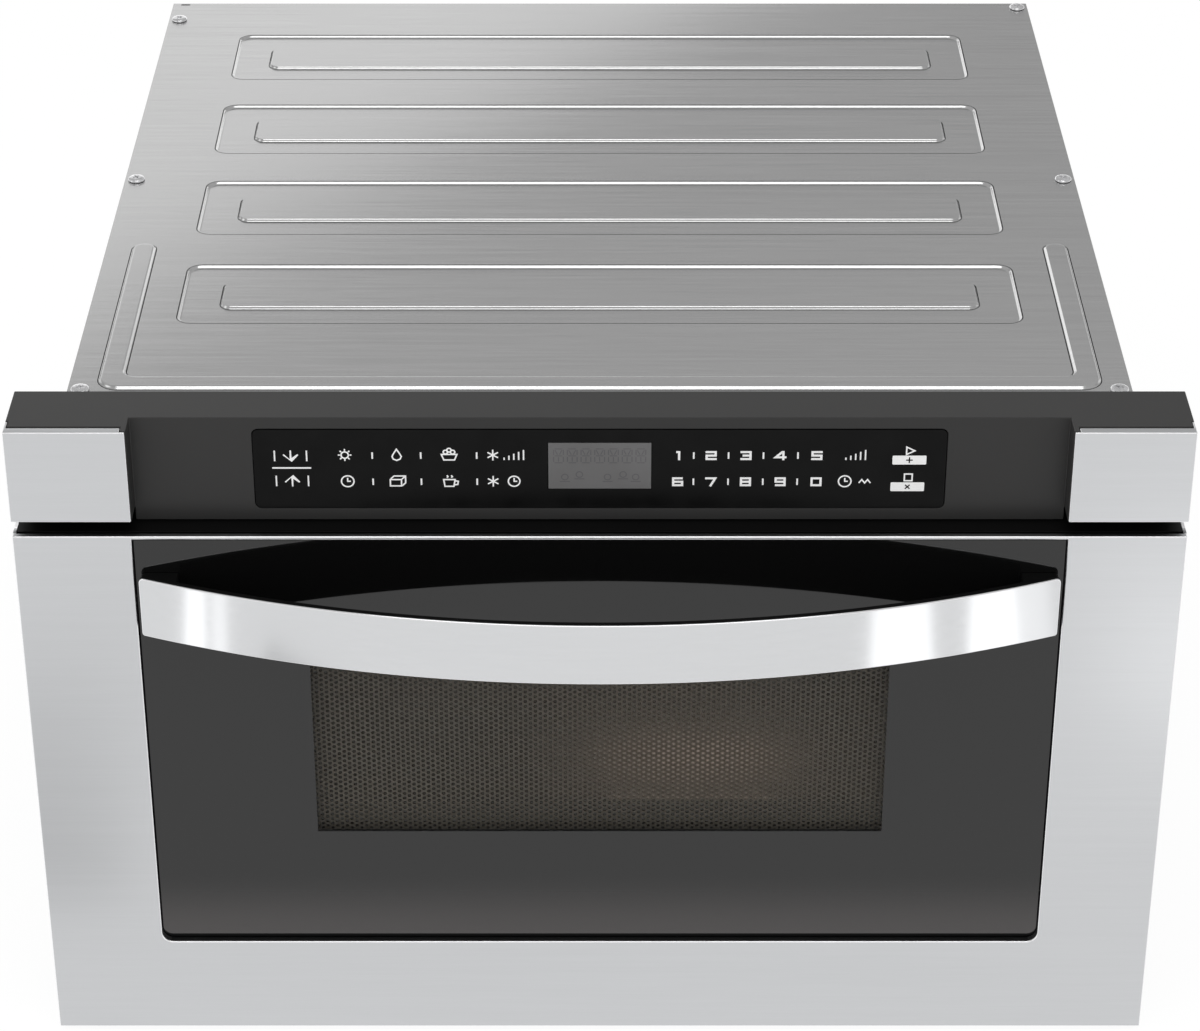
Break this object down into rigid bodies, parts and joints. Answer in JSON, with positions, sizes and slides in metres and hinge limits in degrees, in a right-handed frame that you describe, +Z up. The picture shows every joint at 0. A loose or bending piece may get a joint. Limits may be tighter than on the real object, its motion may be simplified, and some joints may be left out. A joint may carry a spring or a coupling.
{
  "type": "microwave drawer",
  "caption": "Built-in microwave oven whose whole front slides out as a drawer, with a bowed bar handle, a glass window front and a touch control strip above it.",
  "frame": {"origin": "bottom centre of the whole unit's box, on the surface that the cabinet's base stands on", "axes": "+Z up, the drawer's front faces -Y, +X to the right seen from the front"},
  "size_m": [0.606, 0.645, 0.3842],
  "materials": {
    "brushed_stainless": "horizontally brushed stainless, satin",
    "cover_steel": "mill-brushed sheet with pressed ribs",
    "zinc_steel": "zinc-coated sheet, dull",
    "black_steel": "black powder coat, satin",
    "trim_plastic": "dark grey moulded plastic, fine satin",
    "black_plastic": "black moulded plastic",
    "dark_glass": "dark tinted glass, polished",
    "touch_glass": "back-printed black glass, polished",
    "clear_glass": "clear glass",
    "display_grey": "grey liquid crystal window",
    "board_green": "lacquered circuit board",
    "cavity_paint": "light grey oven enamel",
    "tub_steel": "satin stainless",
    "ceramic": "dark glass ceramic",
    "screen_steel": "perforated sheet, brown-black enamel",
    "choke_grey": "grey moulded plastic",
    "core_steel": "varnished laminations",
    "white_plastic": "natural moulded nylon",
    "mica_sheet": "pressed mica",
    "aluminium": "plain aluminium",
    "zinc_screw": "bright zinc plate"
  },
  "bodies": {
    "cabinet": {"base_pan": "zinc_steel", "side_panel_left": "zinc_steel", "side_panel_right": "zinc_steel", "rear_panel": "zinc_steel", "top_cover": "cover_steel", "front_frame": "black_steel", "mounting_flange_left": "zinc_steel", "mounting_flange_right": "zinc_steel", "cover_screw_1": "zinc_screw", "cover_screw_2": "zinc_screw", "cover_screw_3": "zinc_screw", "cover_screw_4": "zinc_screw", "cover_screw_5": "zinc_screw", "cover_screw_6": "zinc_screw", "control_panel_housing": "trim_plastic", "trim_cap_left": "brushed_stainless", "trim_cap_right": "brushed_stainless", "touch_panel": "touch_glass", "display_lcd": "display_grey", "control_board": "board_green", "oven_cavity": "cavity_paint", "waveguide": "zinc_steel", "magnetron": "aluminium", "stirrer_motor": "zinc_steel", "stirrer_cover": "mica_sheet", "lamp_socket": "white_plastic", "oven_lamp": "clear_glass", "hv_transformer": "core_steel", "hv_capacitor": "aluminium", "fan_shroud": "zinc_steel", "fan_motor": "core_steel", "power_inlet": "black_plastic", "outer_rail_left": "zinc_steel", "outer_rail_right": "zinc_steel", "drive_motor": "core_steel", "interlock_switch_left": "white_plastic", "interlock_switch_right": "white_plastic"},
    "drawer": {"drawer_frame": "brushed_stainless", "drawer_glass": "dark_glass", "door_carrier": "black_plastic", "window_screen": "screen_steel", "inner_window": "clear_glass", "door_inner_panel": "zinc_steel", "choke_cover": "choke_grey", "drawer_tub": "tub_steel", "ceramic_tray": "ceramic", "handle_bar": "black_steel", "handle_cover": "brushed_stainless", "inner_rail_left": "zinc_steel", "inner_rail_right": "zinc_steel", "rack_gear": "white_plastic", "latch_hook_left": "white_plastic", "latch_hook_right": "white_plastic"},
    "middle_slide_left": {"mid_rail_left": "zinc_steel"},
    "middle_slide_right": {"mid_rail_right": "zinc_steel"},
    "pinion": {"drive_pinion": "white_plastic"},
    "stirrer": {"stirrer": "aluminium"},
    "fan": {"fan_blade": "white_plastic"}
  },
  "joints": [
    {"name": "drawer_slide", "type": "slide", "parent": "cabinet", "child": "drawer", "axis": [0, -1, 0], "range_m": [0, 0.39]},
    {"name": "middle_slide_left_travel", "type": "slide", "parent": "cabinet", "child": "middle_slide_left", "axis": [0, -1, 0], "range_m": [0, 0.195]},
    {"name": "middle_slide_right_travel", "type": "slide", "parent": "cabinet", "child": "middle_slide_right", "axis": [0, -1, 0], "range_m": [0, 0.195]},
    {"name": "pinion_spin", "type": "hinge", "parent": "cabinet", "child": "pinion", "pos_m": [0, -0.21045, 0.023], "axis": [1, 0, 0], "continuous": true},
    {"name": "stirrer_spin", "type": "hinge", "parent": "cabinet", "child": "stirrer", "pos_m": [0, -0.01515, 0.274], "axis": [0, 0, 1], "continuous": true},
    {"name": "fan_spin", "type": "hinge", "parent": "cabinet", "child": "fan", "pos_m": [0.101, 0.25785, 0.2438], "axis": [1, 0, 0], "continuous": true}
  ],
  "couplings": [
    {"joint": "middle_slide_left_travel", "follows": "drawer_slide", "ratio": 0.5},
    {"joint": "middle_slide_right_travel", "follows": "drawer_slide", "ratio": 0.5},
    {"joint": "pinion_spin", "follows": "drawer_slide", "rad_per_m": 71.429}
  ]
}
